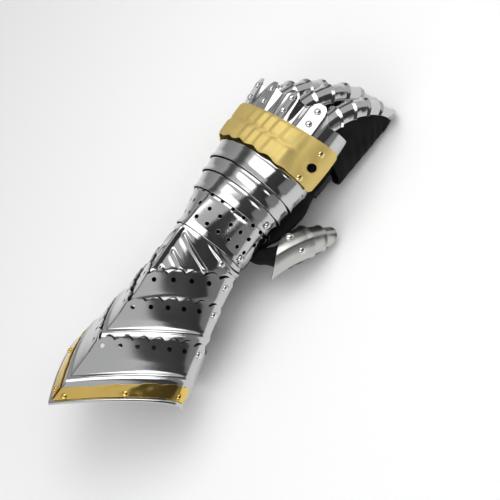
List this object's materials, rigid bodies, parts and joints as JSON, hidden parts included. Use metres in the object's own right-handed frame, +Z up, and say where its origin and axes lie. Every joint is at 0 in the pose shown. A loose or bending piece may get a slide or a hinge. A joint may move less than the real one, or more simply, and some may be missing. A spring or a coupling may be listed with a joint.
{
  "type": "armoured gauntlet",
  "caption": "Left-hand armoured gauntlet of overlapping polished steel plates over a leather glove, with a brass knuckle plate and brass cuff border, lying palm down.",
  "frame": {"origin": "centre of the bounding box in plan, at the surface that the gauntlet lies on", "axes": "+X along the arm to the fingers, +Y to the little-finger side, +Z up through the back of the hand"},
  "size_m": [0.3484, 0.1334, 0.0886],
  "materials": {
    "steel": "polished plate, lightly worn",
    "rivet_steel": "polished domed heads",
    "brass": "hammered and polished",
    "glove_leather": "soft matt black leather",
    "strap_leather": "dull dark grey leather"
  },
  "bodies": {
    "root": {"border_strip_outer": "brass", "border_strip_thumb": "brass", "cuff_base_plate": "steel", "cuff_base_plate_rivet_outer": "rivet_steel", "cuff_base_plate_rivet_thumb": "rivet_steel", "cuff_inner_plate": "steel", "cuff_middle_lame": "steel", "cuff_middle_lame_rivet_outer": "rivet_steel", "cuff_middle_lame_rivet_thumb": "rivet_steel", "cuff_upper_lame": "steel", "cuff_upper_lame_rivet_outer": "rivet_steel", "cuff_upper_lame_rivet_thumb": "rivet_steel", "finger_base_plate": "steel", "hand_lame_1": "steel", "hand_lame_1_rivet_outer": "rivet_steel", "hand_lame_1_rivet_thumb": "rivet_steel", "hand_lame_2": "steel", "hand_lame_3": "steel", "index_knuckle_rivet_1": "rivet_steel", "index_knuckle_rivet_2": "rivet_steel", "index_lame_1": "steel", "index_lame_2": "steel", "index_lame_3": "steel", "index_lame_4": "steel", "index_lame_5": "steel", "knuckle_plate": "brass", "leather_glove": "glove_leather", "little_knuckle_rivet_1": "rivet_steel", "little_knuckle_rivet_2": "rivet_steel", "little_lame_1": "steel", "little_lame_2": "steel", "little_lame_3": "steel", "little_lame_4": "steel", "middle_knuckle_rivet_1": "rivet_steel", "middle_knuckle_rivet_2": "rivet_steel", "middle_lame_1": "steel", "middle_lame_2": "steel", "middle_lame_3": "steel", "middle_lame_4": "steel", "middle_lame_5": "steel", "palm_strap": "strap_leather", "pierced_wrist_lame": "steel", "pierced_wrist_lame_rivet_outer": "rivet_steel", "pierced_wrist_lame_rivet_thumb": "rivet_steel", "ring_knuckle_rivet_1": "rivet_steel", "ring_knuckle_rivet_2": "rivet_steel", "ring_lame_1": "steel", "ring_lame_2": "steel", "ring_lame_3": "steel", "ring_lame_4": "steel", "ring_lame_5": "steel", "thumb_base_plate": "steel", "thumb_base_plate_rivet_1": "rivet_steel", "thumb_base_plate_rivet_2": "rivet_steel", "thumb_lame": "steel", "thumb_tip_plate": "steel", "wrist_plate": "steel", "wrist_plate_rivet_outer": "rivet_steel", "wrist_plate_rivet_thumb": "rivet_steel"}
  },
  "joints": []
}
